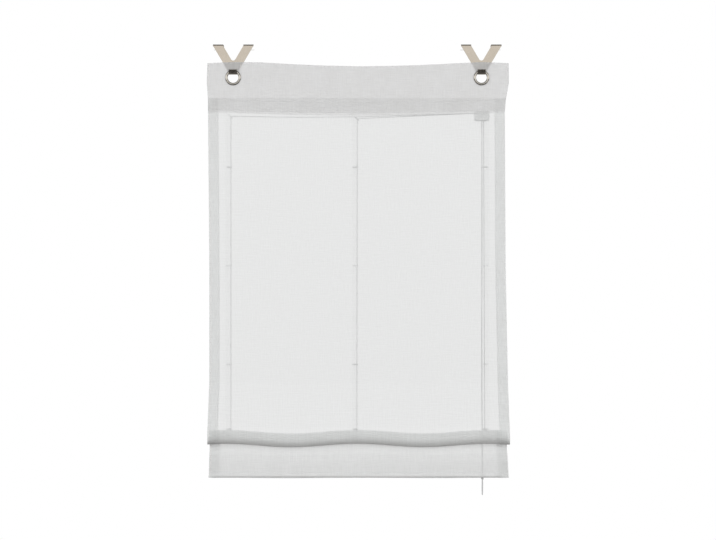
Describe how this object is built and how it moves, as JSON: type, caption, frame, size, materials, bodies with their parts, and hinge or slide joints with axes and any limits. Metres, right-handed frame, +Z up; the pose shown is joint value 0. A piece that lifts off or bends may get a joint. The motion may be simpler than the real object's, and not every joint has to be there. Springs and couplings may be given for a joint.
{
  "type": "roman blind",
  "caption": "Soft Roman blind of semi-transparent cloth with eyelets on V-shaped sash hooks, ring tapes, lift cords, cord lock and weighted hem.",
  "frame": {"origin": "midway between the two hooks, where their tabs sit on the sash's top edge, on its room face", "axes": "+X to the right seen from the room, -Y towards the room, +Z up"},
  "size_m": [0.98, 0.0367, 1.4714],
  "materials": {
    "cloth": "semi-transparent linen-look weave",
    "tape": "woven tape",
    "cord": "braided",
    "hook_steel": "nickel-plated strip",
    "eyelet_metal": "polished nickel",
    "ring_plastic": "milky moulded",
    "lock_plastic": "moulded",
    "rod_plastic": "drawn fibre rod"
  },
  "bodies": {
    "header": {"header_band": "cloth", "fabric_panel": "cloth", "ring_tape_left": "tape", "ring_tape_middle": "tape", "ring_tape_right": "tape", "sash_hook_left": "hook_steel", "eyelet_front_left": "eyelet_metal", "eyelet_washer_left": "eyelet_metal", "sash_hook_right": "hook_steel", "eyelet_front_right": "eyelet_metal", "eyelet_washer_right": "eyelet_metal", "guide_ring_left": "ring_plastic", "guide_ring_middle": "ring_plastic", "lock_housing": "lock_plastic", "lock_cover": "lock_plastic", "lift_cord_left": "cord", "lift_cord_middle": "cord", "lift_cord_right": "cord", "pull_cord_1": "cord", "pull_cord_2": "cord", "pull_cord_3": "cord"},
    "row_1": {"ring_1_left": "ring_plastic", "ring_1_middle": "ring_plastic", "ring_1_right": "ring_plastic"},
    "row_2": {"ring_2_left": "ring_plastic", "ring_2_middle": "ring_plastic", "ring_2_right": "ring_plastic"},
    "row_3": {"ring_3_left": "ring_plastic", "ring_3_middle": "ring_plastic", "ring_3_right": "ring_plastic"},
    "hem": {"ring_4_left": "ring_plastic", "ring_4_middle": "ring_plastic", "ring_4_right": "ring_plastic", "weight_rod": "rod_plastic", "rod_cap_left": "rod_plastic", "rod_cap_right": "rod_plastic"},
    "pull_end": {"pull_knot": "cord"},
    "roller": {"lock_roller": "lock_plastic"}
  },
  "joints": [
    {"name": "row_1_lift", "type": "slide", "parent": "header", "child": "row_1", "axis": [0, 0.0237, 0.9997], "range_m": [0, 0.14], "deforming": ["fabric_panel", "ring_tape_left", "ring_tape_middle", "ring_tape_right", "lift_cord_left", "lift_cord_middle", "lift_cord_right"]},
    {"name": "row_2_lift", "type": "slide", "parent": "row_1", "child": "row_2", "axis": [0, 0.0237, 0.9997], "range_m": [0, 0.297]},
    {"name": "row_3_lift", "type": "slide", "parent": "row_2", "child": "row_3", "axis": [0, 0.0237, 0.9997], "range_m": [0, 0.297]},
    {"name": "hem_lift", "type": "slide", "parent": "row_3", "child": "hem", "axis": [0, 0.0747, 0.9972], "range_m": [0, 0.187]},
    {"name": "cord_pull", "type": "slide", "parent": "header", "child": "pull_end", "axis": [0, 0, -1], "range_m": [0, 0.921], "deforming": ["pull_cord_1", "pull_cord_2", "pull_cord_3"]},
    {"name": "roller_jam", "type": "slide", "parent": "header", "child": "roller", "axis": [0.5, 0, 0.866], "range_m": [0, 0.005]}
  ],
  "couplings": [
    {"joint": "row_2_lift", "follows": "row_1_lift", "ratio": 2.1207},
    {"joint": "row_3_lift", "follows": "row_1_lift", "ratio": 2.1207},
    {"joint": "hem_lift", "follows": "row_1_lift", "ratio": 1.335},
    {"joint": "cord_pull", "follows": "row_1_lift", "ratio": 6.5771}
  ]
}
